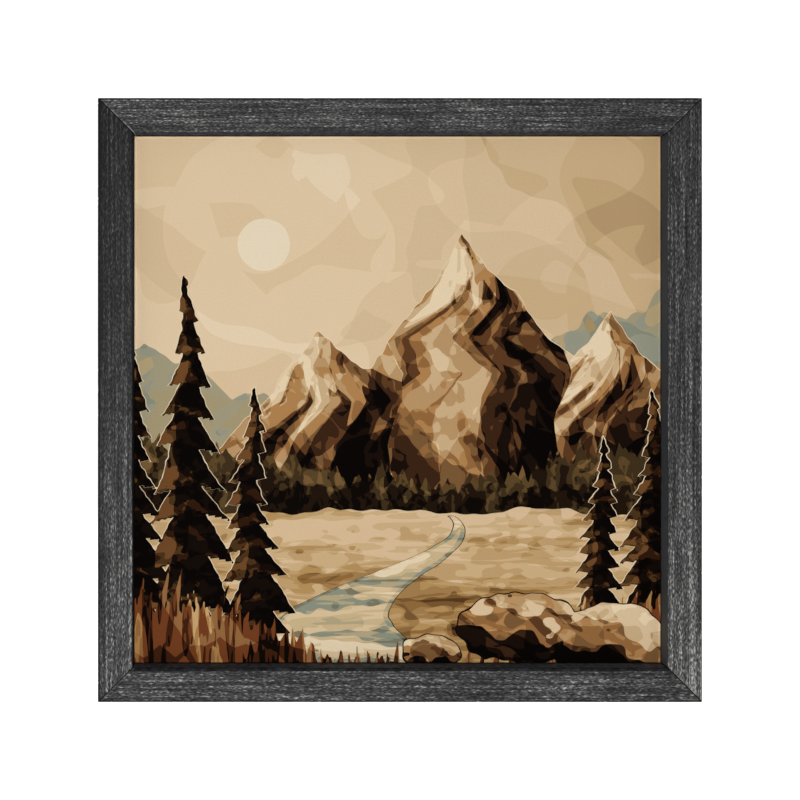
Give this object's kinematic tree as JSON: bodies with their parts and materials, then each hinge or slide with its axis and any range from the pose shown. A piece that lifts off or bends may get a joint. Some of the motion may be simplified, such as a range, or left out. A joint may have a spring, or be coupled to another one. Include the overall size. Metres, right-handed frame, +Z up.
{
  "type": "framed canvas picture",
  "caption": "Square canvas picture in a deep charcoal box-section wooden frame, open at the back, with stretcher bars, clips and a sawtooth hanger.",
  "frame": {"origin": "in the wall plane, at the middle notch of the sawtooth hanger, where the wall's nail or hook bears", "axes": "+X to the viewer's right, +Y into the wall, +Z up; the picture faces -Y"},
  "size_m": [0.508, 0.0386, 0.508],
  "materials": {
    "black_wood": "charcoal paint dry-brushed with light grey along the grain, satin",
    "pine": "bare planed pine",
    "printed_canvas": "plain-weave canvas printed in tans, browns and slate, matt; bare off-white behind",
    "zinc_steel": "bright zinc plate",
    "bumper_rubber": "matt"
  },
  "bodies": {
    "root": {"rail_top": "black_wood", "rail_bottom": "black_wood", "stile_left": "black_wood", "stile_right": "black_wood", "stretcher_top": "pine", "stretcher_bottom": "pine", "stretcher_left": "pine", "stretcher_right": "pine", "canvas": "printed_canvas", "clip_top_1": "zinc_steel", "clip_top_2": "zinc_steel", "clip_right_1": "zinc_steel", "clip_right_2": "zinc_steel", "clip_bottom_1": "zinc_steel", "clip_bottom_2": "zinc_steel", "clip_left_1": "zinc_steel", "clip_left_2": "zinc_steel", "screw_top_1": "zinc_steel", "screw_top_2": "zinc_steel", "screw_right_1": "zinc_steel", "screw_right_2": "zinc_steel", "screw_bottom_1": "zinc_steel", "screw_bottom_2": "zinc_steel", "screw_left_1": "zinc_steel", "screw_left_2": "zinc_steel", "hanger": "zinc_steel", "hanger_nail_1": "zinc_steel", "hanger_nail_2": "zinc_steel", "bumper_left": "bumper_rubber", "bumper_right": "bumper_rubber"}
  },
  "joints": []
}
